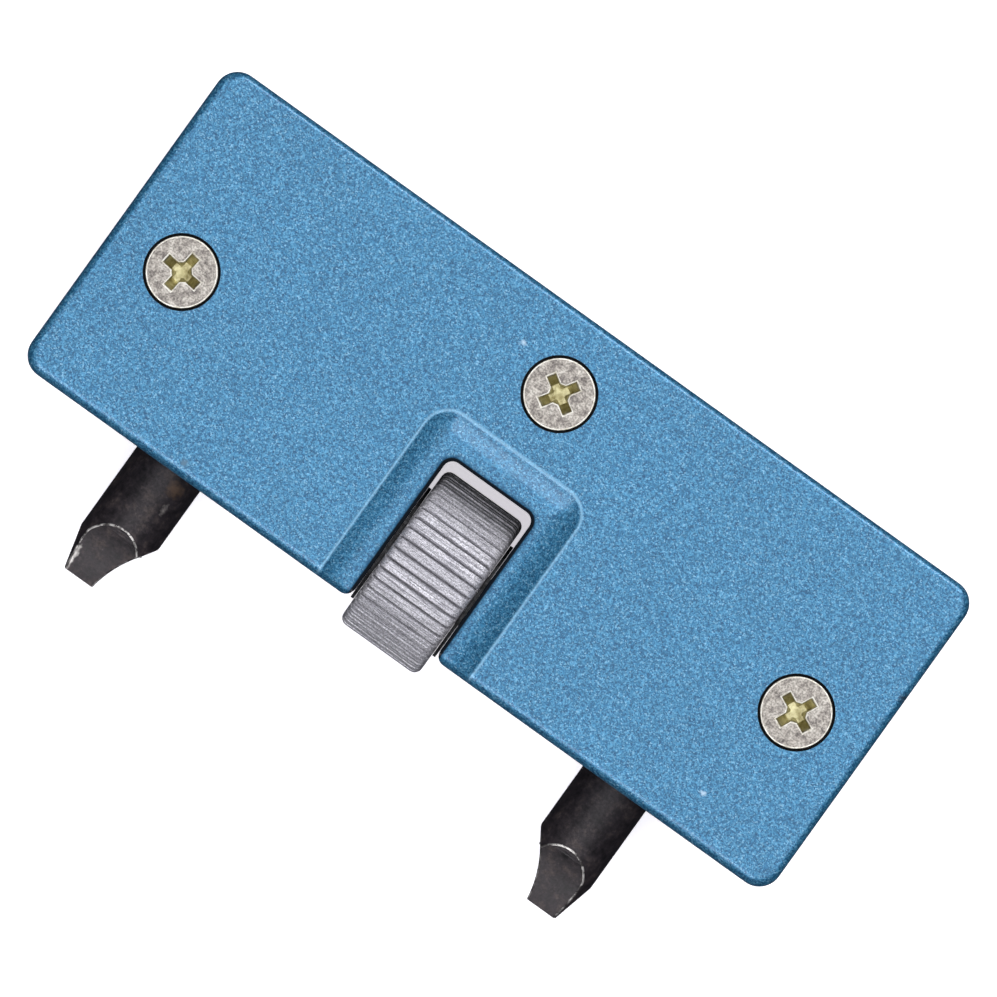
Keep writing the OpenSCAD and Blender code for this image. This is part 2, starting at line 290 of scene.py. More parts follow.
# Closely spaced lines where the recess curves most, wider ones on its gentle slope
FINE_STEP, COARSE_STEP = 0.08, 0.2
fine, coarse = RECESS_LIP + 0.5, RECESS_SLOPE + 0.3
for side in (-1, 1):
    slice_along(casting, "X",
                [side * x for x in spaced(RECESS_HALF - fine, RECESS_HALF + BEAD_HALF, FINE_STEP)]
                + [side * x for x in spaced(RECESS_HALF - coarse, RECESS_HALF - fine - COARSE_STEP,
                                            COARSE_STEP)])
slice_along(casting, "Y", spaced(RECESS_TOP - coarse, RECESS_TOP - fine - COARSE_STEP, COARSE_STEP)
            + spaced(RECESS_TOP - fine, RECESS_TOP + BEAD_HALF, FINE_STEP))
sunk = casting.vertex_groups.new(name="sunk")
bead = casting.vertex_groups.new(name="bead")
for vertex in casting.data.vertices:
    inside = inside_outline(vertex.co.x, vertex.co.y, RECESS_HALF, RECESS_TOP, RECESS_CORNER)
    if vertex.co.z > HALF_T - EDGE_ROUND - 0.001:
        if inside > 0:
            sunk.add([vertex.index], recess_depth(inside) / RECESS_DEEP, "REPLACE")
        if abs(inside) < BEAD_HALF and vertex.co.z > HALF_T - 0.01:
            bead.add([vertex.index], (1 - (inside / BEAD_HALF) ** 2) ** 2, "REPLACE")
for group, lift in (("sunk", -RECESS_DEEP), ("bead", BEAD_HIGH)):
    apply_modifier(casting, "DISPLACE", vertex_group=group, direction="Z", strength=lift, mid_level=0)

# The slot for the wheel, rounded at its closed end and flared where it leaves the body
slot_cutter = block("slot_cutter", (-SLOT_HALF, -HALF_W, -1), (SLOT_HALF, SLOT_TOP, HALF_T + 1))
pick(slot_cutter, lambda e: abs(e.verts[0].co.z - e.verts[1].co.z) > 1
     and e.verts[0].co.y > SLOT_TOP - 0.01, "EDGE")
bevel_picked(SLOT_CORNER, 6)
mouth = block("mouth", (-SLOT_HALF - SLOT_CORNER, -HALF_W - 1, -1),
              (SLOT_HALF + SLOT_CORNER, -HALF_W + SLOT_CORNER, HALF_T + 1))
for side in (-1, 1):
    edge_x = side * (SLOT_HALF + SLOT_CORNER)
    lip = round_bar("lip", SLOT_CORNER, (edge_x, -HALF_W + SLOT_CORNER, -2),
                    (edge_x, -HALF_W + SLOT_CORNER, HALF_T + 2), 40)
    cut(mouth, lip)
cut(slot_cutter, mouth, "UNION")
cut(casting, slot_cutter)

# The hollow behind the channel, left solid round the bosses and the wheel's well
HOLLOW_LOW, HOLLOW_HIGH, HOLLOW_DEEP = CHANNEL_HIGH + 1.6, HALF_W - WALL, HALF_T - WALL
WELL_OUT = SLOT_HALF + WELL_WALL
hollow = block("hollow", (-HALF_L + WALL, HOLLOW_LOW, -1), (HALF_L - WALL, HOLLOW_HIGH, HOLLOW_DEEP))
cut(hollow, block("well", (-WELL_OUT, HOLLOW_LOW - 1, -2), (WELL_OUT, SLOT_TOP + WELL_WALL, HALF_T)))
cut(hollow, block("recess_back", (-RECESS_HALF, HOLLOW_LOW - 1, HOLLOW_DEEP - RECESS_DEEP),
                  (RECESS_HALF, RECESS_TOP, HALF_T)))
for x, y in SCREW_PLACES.values():
    cut(hollow, round_bar("boss", BOSS_R, (x, y, -2), (x, y, HALF_T), 48))
for x in (-DOWEL_X, DOWEL_X):
    cut(hollow, round_bar("dowel_boss", DOWEL_BOSS_R, (x, DOWEL_Y, -2), (x, DOWEL_Y, HALF_T), 32))
cut(casting, hollow)


def beside_wheel(side, near, far, low, high, deep):
    """The corners of a block on one side of the wheel, open at the parting plane."""
    return (min(side * near, side * far), low, -1), (max(side * near, side * far), high, deep)


def along_axis(side, near, far):
    """Two points on the spindle's axis, on one side of the wheel."""
    return (side * near, AXIS_Y, 0), (side * far, AXIS_Y, 0)


for side in (-1, 1):
    cut(casting, block("channel", *beside_wheel(side, WELL_OUT, HALF_L - 5, CHANNEL_LOW, CHANNEL_HIGH,
                                                CHANNEL_DEEP)))
    cut(casting, block("claw_slot", *beside_wheel(side, CLAW_SLOT_IN, CLAW_SLOT_OUT, -HALF_W - 1,
                                                  CHANNEL_LOW + 0.5, CLAW_SLOT_HALF)))
    cut(casting, round_bar("spindle_seat", HUB_SEAT_R, *along_axis(side, HUB_SEAT_FROM, HUB_SEAT_TO), 48))
    cut(casting, round_bar("bush_seat", BUSH_SEAT_R, *along_axis(side, BUSH_SEAT_FROM, BUSH_SEAT_TO), 48))
    cut(casting, round_bar("dowel_hole", DOWEL_R, (side * DOWEL_X, DOWEL_Y, -1),
                           (side * DOWEL_X, DOWEL_Y, DOWEL_DEEP), 32))


def round_rims(piece, offset, segments, near):
    """Takes the sharpness off the outside edges that a test picks, as paint and tumbling do."""
    def sharp(e):
        return len(e.link_faces) == 2 and e.calc_face_angle(0) > radians(35) and near(*e.verts)
    pick(piece, sharp, "EDGE")
    bevel_picked(offset, segments)


def on_slot(a, b):
    return all(abs(v.co.x) < SLOT_HALF + SLOT_CORNER + 0.05 and v.co.y < SLOT_TOP + 0.01
               and v.co.z > HALF_T - RECESS_DEEP - EDGE_ROUND - 0.3 for v in (a, b))


round_rims(casting, 0.32, 4, on_slot)

# The two castings part ways here: the cover is bored for the screws, the housing is tapped for them
cover = casting
housing = casting.copy()
housing.data = casting.data.copy()
scene.collection.objects.link(housing)
for x, y in SCREW_PLACES.values():
    cut(cover, round_bar("clearance", CLEARANCE_R, (x, y, -1), (x, y, HALF_T + 1), 48))
    cut(cover, round_bar("counterbore", COUNTERBORE_R, (x, y, HALF_T - COUNTERBORE_DEEP),
                         (x, y, HALF_T + 1), 96))
    cut(housing, round_bar("tapping", TAPPING_R, (x, y, -1), (x, y, TAPPING_DEEP), 48))


def on_counterbore(a, b):
    return any(all(abs((v.co.xy - Vector(middle)).length - COUNTERBORE_R) < 0.02
                   and v.co.z > HALF_T - 0.01 for v in (a, b)) for middle in SCREW_PLACES.values())


round_rims(cover, 0.14, 3, on_counterbore)


def mark_picked(piece, index):
    """The picked faces take the piece's second or third material. Ends edit mode."""
    mesh = bmesh.from_edit_mesh(piece.data)
    for face in mesh.faces:
        if face.select:
            face.material_index = index
    bmesh.update_edit_mesh(piece.data)
    done()


def unpainted_and_shaded(face):
    """In a counterbore, in the wheel slot below its rim, or inside the casting: the faces that take the
    near-black casting colour, which is painted shade in the counterbores and the slot and stands for bare
    metal inside.
    """
    middle = face.calc_center_median()
    below = middle.z < HALF_T - RECESS_DEEP - EDGE_ROUND
    bored = middle.z < HALF_T - 0.2 and any((middle.xy - Vector(at)).length < COUNTERBORE_R + 0.01
                                            for at in SCREW_PLACES.values())
    slotted = (inside_outline(middle.x, middle.y, SLOT_HALF, SLOT_TOP, SLOT_CORNER) > -0.13
               and face.normal.z < 0.97)
    within = abs(middle.x) < HALF_L - 0.7 and abs(middle.y) < HALF_W - 0.7
    return bored or slotted or below and within


# These faces take the near-black second material: painted shade in the counterbores and the wheel slot,
# bare metal inside
for piece in (cover, housing):
    pick(piece, unpainted_and_shaded)
    mark_picked(piece, 1)


def finish_piece(piece, name, body, nodes, place=Matrix.Identity(4), smooth=30, weighted=True):
    """Brings a piece drawn in millimetres to metres, smooths it and sets it on its body."""
    if piece.mode == "EDIT":
        done()
    piece.data.transform(Matrix.Scale(1 / MM, 4) @ place)
    if place.determinant() < 0:
        piece.data.flip_normals()
    piece.name = name
    piece.data.name = name
    bpy.ops.object.select_all(action="DESELECT")
    piece.select_set(True)
    bpy.context.view_layer.objects.active = piece
    bpy.ops.object.shade_smooth_by_angle(angle=radians(smooth))
    if weighted:
        apply_modifier(piece, "WEIGHTED_NORMAL", mode="FACE_AREA", keep_sharp=True)
    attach(piece, body)
    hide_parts(*nodes)


BODY_SHIFT = Matrix.Translation((body_middle.x * MM, body_middle.y * MM, HALF_T))
finish_piece(cover, "front_casting", "body", ["front_cover"], BODY_SHIFT)
finish_piece(housing, "rear_casting", "body", ["rear_housing"],
             BODY_SHIFT @ Matrix.Scale(-1, 4, (0, 0, 1)))


def new_material(name):
    """A material with its shader, and coordinates on the piece that count in millimetres."""
    material = bpy.data.materials.new(name)
    material.use_nodes = True
    shader = material.node_tree.nodes["Principled BSDF"]
    place = node(material, "ShaderNodeTexCoord").outputs["Object"]
    scaled = node(material, "ShaderNodeMapping", {"Vector": place, "Scale": (MM, MM, MM)})
    return material, shader, scaled.outputs["Vector"]


def mixed(material, factor, first, second, blend="MIX"):
    made = material.node_tree.nodes.new("ShaderNodeMix")
    made.data_type = "RGBA"
    made.blend_type = blend
    for index, value in ((0, factor), (6, first), (7, second)):
        if isinstance(value, bpy.types.NodeSocket):
            material.node_tree.links.new(value, made.inputs[index])
        elif index == 0:
            made.inputs[index].default_value = value
        else:
            made.inputs[index].default_value = (*value, 1)
    return made.outputs[2]


def math_step(material, value, kind, other=0.0):
    """One step of arithmetic on a value, or on two."""
    return node(material, "ShaderNodeMath", {0: value, 1: other}, operation=kind).outputs[0]


def point_step(material, value, kind, other=(0, 0, 0)):
    """One step of arithmetic on a point, or on two; a length comes out as a value."""
    made = node(material, "ShaderNodeVectorMath", {0: value, 1: other}, operation=kind)
    return made.outputs["Value" if kind == "LENGTH" else "Vector"]


def between(material, value, start, end, first, last):
    """Runs from one value to another as a third goes from start to end, and stays there."""
    return node(material, "ShaderNodeMapRange", {"Value": value, "From Min": start, "From Max": end,
                                                 "To Min": first, "To Max": last}).outputs["Result"]


def spot(material, place, centre, radius, soft, stretch=(1, 1, 1)):
    """1 inside a ragged patch round a point in millimetres, 0 outside it."""
    ragged = node(material, "ShaderNodeTexNoise", {"Vector": place, "Scale": 2.6, "Detail": 3.0})
    offset = point_step(material, point_step(material, place, "SUBTRACT", centre), "MULTIPLY", stretch)
    away = point_step(material, offset, "LENGTH")
    reach = radius + 0.5        # the noise lies round a half
    return between(material, math_step(material, away, "ADD", ragged.outputs["Fac"]),
                   reach + soft, reach - soft, 0.0, 1.0)


def on_case(x, y, z):
    """A point given in the body's own axes, as the finished pieces' coordinates have it."""
    return (x + body_middle.x * MM, y + body_middle.y * MM, z)


paint, paint_shader, paint_place = new_material("metallic_blue_paint")
flakes = node(paint, "ShaderNodeTexVoronoi", {"Vector": paint_place, "Scale": 9.0})
flake = node(paint, "ShaderNodeSeparateColor", {"Color": flakes.outputs["Color"]}).outputs["Red"]
grain = node(paint, "ShaderNodeTexNoise", {"Vector": paint_place, "Scale": 3.4, "Detail": 3.0})
cloud = node(paint, "ShaderNodeTexNoise", {"Vector": paint_place, "Scale": 0.09, "Detail": 2.0})
flake_blue = ramp(paint, flake, (0.0, (0.007, 0.083, 0.203)), (0.5, (0.033, 0.205, 0.392)),
                  (0.9, (0.098, 0.341, 0.572)), (1.0, (0.225, 0.475, 0.690)))
grain_grey = ramp(paint, grain.outputs["Fac"], (0.30, 0.62), (0.70, 1.0))
cloud_grey = ramp(paint, cloud.outputs["Fac"], (0.3, 0.94), (0.7, 1.0))
blue = mixed(paint, 1.0, mixed(paint, 1.0, flake_blue, grain_grey, "MULTIPLY"), cloud_grey, "MULTIPLY")


def off_outline(material, place, half, top, corner):
    """How far a point lies outside an outline with two round corners; negative inside it."""
    parted = node(material, "ShaderNodeSeparateXYZ", {"Vector": place})
    from_middle = math_step(material, parted.outputs["X"], "ABSOLUTE")
    past_x = math_step(material, from_middle, "SUBTRACT", half - corner)
    past_y = math_step(material, parted.outputs["Y"], "SUBTRACT", on_case(0, top - corner, 0)[1])
    beyond = node(material, "ShaderNodeCombineXYZ", {"X": math_step(material, past_x, "MAXIMUM"),
                                                     "Y": math_step(material, past_y, "MAXIMUM")})
    reach = point_step(material, beyond.outputs[0], "LENGTH")
    within = math_step(material, math_step(material, past_x, "MAXIMUM", past_y), "MINIMUM")
    return math_step(material, math_step(material, reach, "ADD", within), "SUBTRACT", corner)


# On the front face a lighter blue is painted along the rim of the recess as a painted highlight, and round
# the mouth of the wheel slot a dark blue band and a black line are painted as painted shade
paint_height = node(paint, "ShaderNodeSeparateXYZ", {"Vector": paint_place}).outputs["Z"]
on_front = between(paint, paint_height, FACE_TOP * MM - 1.0, FACE_TOP * MM - 0.3, 0.0, 1.0)
off_recess = off_outline(paint, paint_place, RECESS_HALF, RECESS_TOP, RECESS_CORNER)
# Painted highlight: a lighter blue along the rim of the recess on the front face
recess_rim_highlight = between(paint, math_step(paint, off_recess, "ABSOLUTE"), 0.04, 0.22, 0.35, 0.0)
blue = mixed(paint, math_step(paint, recess_rim_highlight, "MULTIPLY", on_front), blue, (0.330, 0.600, 0.820))
# Painted shade: a dark blue band and a black line round the mouth of the wheel slot, with less coat and
# specular there
off_slot = off_outline(paint, paint_place, SLOT_HALF, SLOT_TOP, SLOT_CORNER)
blue = mixed(paint, between(paint, off_slot, 0.20, 0.75, 0.80, 0.0), blue, (0.004, 0.036, 0.085))
blue = mixed(paint, between(paint, off_slot, 0.24, 0.36, 1.0, 0.0), blue, (0.003, 0.005, 0.008))
link(paint, between(paint, off_slot, 0.24, 0.60, 0.0, 0.32), paint_shader.inputs["Coat Weight"])
link(paint, between(paint, off_slot, 0.24, 0.60, 0.05, 0.5), paint_shader.inputs["Specular IOR Level"])
KNOCK, STAIN, CHIP = (0.030, 0.035, 0.050), (0.060, 0.140, 0.220), (0.420, 0.560, 0.700)
for x, y, z, radius, colour in ((-39.5, 3, 16.0, 0.6, KNOCK), (39.4, 5, 16.2, 0.7, KNOCK),
                                (-23, -14.7, 17, 0.3, STAIN), (30.3, -11.9, 17, 0.1, CHIP),
                                (-5.2, 10.9, 17, 0.1, CHIP)):
    scuff = spot(paint, paint_place, on_case(x, y, z), radius, 0.2)
    blue = mixed(paint, scuff, blue, colour)
link(paint, blue, paint_shader.inputs["Base Color"])
paint_shader.inputs["Metallic"].default_value = 0.5
paint_shader.inputs["Coat Roughness"].default_value = 0.14
link(paint, ramp(paint, flake, (0.0, 0.40), (1.0, 0.52)), paint_shader.inputs["Roughness"])
paint_bump = node(paint, "ShaderNodeBump", {"Strength": 0.25, "Distance": 0.00002,
                                            "Height": grain.outputs["Fac"]})
link(paint, paint_bump.outputs["Normal"], paint_shader.inputs["Normal"])

# Near-black casting colour: bare metal inside the castings, and painted shade on the walls of the
# counterbores and the wheel slot
shaded_raw_zinc, raw_shader, raw_place = new_material("raw_casting_with_painted_shade")
casting_mottle = node(shaded_raw_zinc, "ShaderNodeTexNoise", {"Vector": raw_place, "Scale": 0.8, "Detail": 4.0})
painted_shade_dark = ramp(shaded_raw_zinc, casting_mottle.outputs["Fac"], (0.3, (0.005, 0.005, 0.007)),
                  (0.7, (0.020, 0.021, 0.026)))
link(shaded_raw_zinc, painted_shade_dark, raw_shader.inputs["Base Color"])
raw_shader.inputs["Roughness"].default_value = 0.6
for piece in (cover, housing):
    piece.data.materials.append(paint)
    piece.data.materials.append(shaded_raw_zinc)

# Cover screws. Three zinc-plated machine screws with flat cross-recessed heads go through the cover
# into the housing. The plating is grey and blotchy on the head and yellow in the cross.
HEAD_RADIUS, HEAD_THICK, HEAD_SUNK, RIM_BEVEL = 3.15, 2.1, 0.1, 0.12
SHANK_RADIUS, SHANK_LONG, SHANK_POINT = 1.5, 12.0, 0.5
CROSS_LONG, CROSS_WIDE, CROSS_DEEP, CROSS_BEVEL = 4.3, 0.98, 1.7, 0.09
HEART_RADIUS = 1.42
SCREW_TURNS = {"left": -7, "centre": 58, "right": -25}


def cross_arm(turn):
    """One bar of the cross, narrower at the bottom and sloping up towards its two ends."""
    arm = block("arm", (-CROSS_LONG / 2, -CROSS_WIDE / 2, -CROSS_DEEP),
                (CROSS_LONG / 2, CROSS_WIDE / 2, 0.5))
    pick(arm, lambda v: v.co.z < -CROSS_DEEP + 0.01, "VERT")
    bpy.ops.transform.resize(value=(0.42, 0.62, 1), center_override=(0, 0, 0))
    done()
    arm.data.transform(Matrix.Rotation(radians(turn), 4, "Z"))
    return arm


def make_screw():
    """A screw with the top of its head at the origin and its shank downwards."""
    screw = round_bar("screw", HEAD_RADIUS, (0, 0, -HEAD_THICK), (0, 0, 0), 96)
    pick(screw, lambda e: min(v.co.z for v in e.verts) > -0.01 and e.calc_face_angle(0) > 1, "EDGE")
    bevel_picked(RIM_BEVEL, 2)
    # The rounded rim of the head takes the pale second material: a painted highlight, partly worn plating
    pick(screw, lambda f: 0.1 < f.normal.z < 0.99)
    mark_picked(screw, 1)
    pick(screw, lambda f: f.normal.z < -0.9)
    bpy.ops.mesh.inset(thickness=HEAD_RADIUS - SHANK_RADIUS)
    for run in (SHANK_LONG - SHANK_POINT, SHANK_POINT):
        bpy.ops.mesh.extrude_region_move(TRANSFORM_OT_translate={"value": (0, 0, -run)})
    bpy.ops.transform.resize(value=(0.7, 0.7, 1), center_override=(0, 0, 0))
    done()
    cross = cross_arm(0)
    cut(cross, cross_arm(90), "UNION")
    heart = round_bar("heart", HEART_RADIUS, (0, 0, -CROSS_DEEP - 0.1), (0, 0, 0.5), 4)
    pick(heart, lambda v: v.co.z < -1, "VERT")
    bpy.ops.transform.resize(value=(0.5, 0.5, 1), center_override=(0, 0, 0))
    done()
    cut(cross, heart, "UNION")
    cut(screw, cross)

    def cross_rim(e):
        return (len(e.link_faces) == 2 and e.calc_face_angle(0) > 0.5
                and min(v.co.z for v in e.verts) > -0.01
                and max(v.co.xy.length for v in e.verts) < CROSS_LONG / 2 + 0.05)
    pick(screw, cross_rim, "EDGE")
    bpy.ops.mesh.bevel(offset=CROSS_BEVEL, segments=1, affect="EDGES", clamp_overlap=False)
    done()
    # The rounded edges of the cross take the same pale material: a painted highlight, partly worn plating
    pick(screw, lambda f: 0.1 < f.normal.z < 0.99 and f.calc_center_median().z > -0.1)
    mark_picked(screw, 1)
    return screw


zinc, zinc_shader, zinc_place = new_material("zinc_plating")
blotch = node(zinc, "ShaderNodeTexNoise", {"Vector": zinc_place, "Scale": 1.3, "Detail": 5.0,
                                           "Roughness": 0.65})
speckle = node(zinc, "ShaderNodeTexNoise", {"Vector": zinc_place, "Scale": 5.5, "Detail": 4.0})
grey = ramp(zinc, blotch.outputs["Fac"], (0.36, (0.20, 0.18, 0.17)), (0.50, (0.38, 0.35, 0.32)),
            (0.64, (0.52, 0.49, 0.45)))
fine_grey = ramp(zinc, speckle.outputs["Fac"], (0.38, 0.48), (0.60, 1.0))
grey = mixed(zinc, 1.0, grey, fine_grey, "MULTIPLY")
height = node(zinc, "ShaderNodeSeparateXYZ", {"Vector": zinc_place}).outputs["Z"]
head_top = FACE_TOP * MM - HEAD_SUNK
deep = between(zinc, height, head_top - 0.05, head_top - 0.45, 0.0, 1.0)
yellow = ramp(zinc, blotch.outputs["Fac"], (0.32, (0.27, 0.23, 0.10)), (0.66, (0.66, 0.62, 0.38)))
link(zinc, mixed(zinc, deep, grey, yellow), zinc_shader.inputs["Base Color"])
zinc_shader.inputs["Metallic"].default_value = 0.85
link(zinc, ramp(zinc, blotch.outputs["Fac"], (0.3, 0.50), (0.7, 0.32)), zinc_shader.inputs["Roughness"])
zinc_bump = node(zinc, "ShaderNodeBump", {"Strength": 0.5, "Distance": 0.00003,
                                          "Height": blotch.outputs["Fac"]})
link(zinc, zinc_bump.outputs["Normal"], zinc_shader.inputs["Normal"])

# A pale, nearly white material for the rounded rims of the heads and the cross: painted highlight, partly
# worn plating
rim_highlight_zinc, bright_shader, bright_place = new_material("worn_zinc_and_painted_highlight")
rim_noise = node(rim_highlight_zinc, "ShaderNodeTexNoise", {"Vector": bright_place, "Scale": 3.0, "Detail": 2.0})
wear_and_highlight_tint = ramp(rim_highlight_zinc, rim_noise.outputs["Fac"], (0.35, (0.62, 0.58, 0.48)), (0.6, (0.95, 0.93, 0.86)))
link(rim_highlight_zinc, wear_and_highlight_tint, bright_shader.inputs["Base Color"])
bright_shader.inputs["Metallic"].default_value = 0.1
bright_shader.inputs["Roughness"].default_value = 0.35

screw_master = make_screw()
for end, (x, y) in SCREW_PLACES.items():
    screw = screw_master.copy()
    screw.data = screw_master.data.copy()
    scene.collection.objects.link(screw)
    place = Matrix.Translation((x + body_middle.x * MM, y + body_middle.y * MM, head_top))
    finish_piece(screw, f"crosshead_screw_{end}", "body", [f"cover_screw_{end}"],
                 place @ Matrix.Rotation(radians(SCREW_TURNS[end]), 4, "Z"))
    screw.data.materials.append(zinc)
    screw.data.materials.append(rim_highlight_zinc)
bpy.data.objects.remove(screw_master, do_unlink=True)

# Thumb wheel. A nickel-plated steel disc pressed on the spindle, its rim milled with straight
# ridges that fade out over the rounded edges so that they don't cut the thumb.
wheel_low, wheel_high = (Vector(corner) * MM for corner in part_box("thumb_wheel"))
WHEEL_HALF = (wheel_high.x - wheel_low.x) / 2
WHEEL_R = (wheel_high.z - wheel_low.z) / 2
WHEEL_MID = (wheel_low + wheel_high) / 2
RIDGES, RIDGE_SIDES, RIDGE_DEEP = 46, 12, 0.36
RIM_ROUND, FLAT_RING, FLAT_SUNK, WHEEL_BORE = 0.75, 1.2, 0.3, 2.49
GROOVE_STEPS = {0: 1.0, 1: 0.45, 11: 0.45, 6: 0.16}     # how deep each line of a ridge's profile lies


def groove_line(step):
    """A test for the vertices on one line of every ridge's profile."""
    def on_line(v):
        turn = (v.co.xy.angle_signed(Vector((1, 0)), 0) % (2 * pi)) / (2 * pi) * RIDGES * RIDGE_SIDES
        return round(turn) % RIDGE_SIDES == step and v.co.xy.length > WHEEL_R - 0.45
    return on_line


wheel = round_bar("wheel", WHEEL_R, (0, 0, -WHEEL_HALF), (0, 0, WHEEL_HALF), RIDGES * RIDGE_SIDES)
pick(wheel, lambda e: abs(e.verts[0].co.z - e.verts[1].co.z) < 0.001, "EDGE")
bevel_picked(RIM_ROUND, 4)
for step, share in GROOVE_STEPS.items():
    pick(wheel, groove_line(step), "VERT")
    shrink = 1 - share * RIDGE_DEEP / WHEEL_R
    bpy.ops.transform.resize(value=(shrink, shrink, 1), center_override=(0, 0, 0))
    done()
pick(wheel, lambda f: abs(f.normal.z) > 0.99 and f.calc_area() > 100)
bpy.ops.mesh.inset(thickness=FLAT_RING, use_individual=True)
bpy.ops.mesh.inset(thickness=FLAT_SUNK, depth=-FLAT_SUNK, use_individual=True)
done()
cut(wheel, round_bar("wheel_bore", WHEEL_BORE, (0, 0, -6), (0, 0, 6), 64))
turn_to_x = Matrix.Rotation(radians(90), 4, "Y")
finish_piece(wheel, "ridged_thumb_wheel", "screw_shaft", ["thumb_wheel"],
             Matrix.Translation(WHEEL_MID) @ turn_to_x, smooth=24, weighted=False)

nickel, nickel_shader, nickel_place = new_material("nickel_plating")
lengthwise = node(nickel, "ShaderNodeMapping", {"Vector": nickel_place, "Scale": (0.22, 5.0, 5.0)})
drag = node(nickel, "ShaderNodeTexNoise", {"Vector": lengthwise.outputs["Vector"], "Scale": 2.4,
                                           "Detail": 5.0, "Roughness": 0.7})
pit = node(nickel, "ShaderNodeTexNoise", {"Vector": nickel_place, "Scale": 8.0, "Detail": 4.0})
silver = ramp(nickel, drag.outputs["Fac"], (0.38, (0.27, 0.26, 0.30)), (0.46, (0.50, 0.49, 0.54)),
              (0.62, (0.70, 0.69, 0.75)))
dark_pit = ramp(nickel, pit.outputs["Fac"], (0.40, 0.44), (0.58, 1.0))
# Painted shade: the base colour darkens towards the bottoms of the grooves
from_axis = point_step(nickel, nickel_place, "ADD", (0, -WHEEL_MID.y, -WHEEL_MID.z))
out = point_step(nickel, point_step(nickel, from_axis, "MULTIPLY", (0, 1, 1)), "LENGTH")
groove = between(nickel, out, WHEEL_R - 0.26, WHEEL_R - 0.06, 0.0, 1.0)
groove_painted_shade = ramp(nickel, groove, (0.0, 0.68), (1.0, 1.0))
silver = mixed(nickel, 1.0, mixed(nickel, 1.0, silver, dark_pit, "MULTIPLY"), groove_painted_shade, "MULTIPLY")
link(nickel, silver, nickel_shader.inputs["Base Color"])
nickel_shader.inputs["Metallic"].default_value = 0.25
nickel_rough = ramp(nickel, drag.outputs["Fac"], (0.3, 0.55), (0.7, 0.38))
link(nickel, nickel_rough, nickel_shader.inputs["Roughness"])
nickel_bump = node(nickel, "ShaderNodeBump", {"Strength": 0.6, "Distance": 0.00003,
                                              "Height": drag.outputs["Fac"]})
link(nickel, nickel_bump.outputs["Normal"], nickel_shader.inputs["Normal"])
wheel.data.materials.append(nickel)

# Claws. Hardened steel pins, blackened, ground to a blade at the tip on both flats and hollowed on
# the side that faces the other claw. Each is cross-drilled for the spindle that passes through it.
CLAW_R = (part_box("claw_right")[1].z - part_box("claw_right")[0].z) * MM / 2
CLAW_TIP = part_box("claw_right")[0].y * MM - body_middle.y * MM
CLAW_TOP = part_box("claw_right")[1].y * MM - body_middle.y * MM
CLAW_X = (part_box("claw_right")[1].x * MM) - CLAW_R
CONE_LONG, CONE_DROP = 4, 1
TIP_THICK, GRIND_R, GRIND_BACK = 1.8, 12, 1.75
HOLLOW_R, HOLLOW_X, HOLLOW_BACK = 10.1, -10.6, 1.4
SHOULDER, SHOULDER_FALL = CLAW_TIP + 6.1, 1.5
CROSS_HOLE_R, PIN_HOLE_R, PIN_Y, GROUND_BEVEL = 2.2, 0.8, CHANNEL_HIGH - 1.5, 0.1


def make_claw():
    """The right claw, with its axis at x = 0, z = 0; the other claw is its mirror image."""
    claw = round_bar("claw", CLAW_R, (0, CLAW_TIP, 0), (0, CLAW_TOP, 0), 128)
    slice_along(claw, "Y", [CLAW_TIP + CONE_LONG])
    pick(claw, lambda v: v.co.y < CLAW_TIP + 0.01, "VERT")
    narrow = 1 - CONE_DROP / CLAW_R
    bpy.ops.transform.resize(value=(narrow, 1, narrow), center_override=(0, CLAW_TIP, 0))
    done()
    grind_y = CLAW_TIP - GRIND_BACK
    grind_z = TIP_THICK / 2 + sqrt(GRIND_R ** 2 - GRIND_BACK ** 2)
    for z in (-grind_z, grind_z):
        cut(claw, round_bar("face_grind", GRIND_R, (-6, grind_y, z), (6, grind_y, z), 256))
    hollow_y = CLAW_TIP - HOLLOW_BACK
    cut(claw, round_bar("side_grind", HOLLOW_R, (HOLLOW_X, hollow_y, -8), (HOLLOW_X, hollow_y, 8), 256))

    # The sloping shoulder above the hollow
    foot_y = SHOULDER - SHOULDER_FALL
    foot_x = HOLLOW_X + sqrt(HOLLOW_R ** 2 - (foot_y - hollow_y) ** 2)
    step = block("step", (-5, foot_y, -8), (foot_x, SHOULDER, 8))
    pick(step, lambda v: v.co.x > foot_x - 0.01 and v.co.y > foot_y + 0.01, "VERT")
    bpy.ops.transform.translate(value=(-CLAW_R - 0.05 - foot_x, 0, 0))
    done()
    cut(claw, step)
    cut(claw, round_bar("cross_hole", CROSS_HOLE_R, (-6, AXIS_Y, 0), (6, AXIS_Y, 0), 64))
    cut(claw, round_bar("pin_hole", PIN_HOLE_R, (0, PIN_Y, -6), (0, PIN_Y, 6), 32))

    def ground_edge(e):
        return (len(e.link_faces) == 2 and e.calc_face_angle(0) > radians(18)
                and e.verts[0].co.y < -HALF_W)
    pick(claw, ground_edge, "EDGE")
    bpy.ops.mesh.bevel(offset=GROUND_BEVEL, segments=1, affect="EDGES", clamp_overlap=False)
    bpy.ops.mesh.select_mode(type="FACE")
    mark_picked(claw, 1)
    return claw


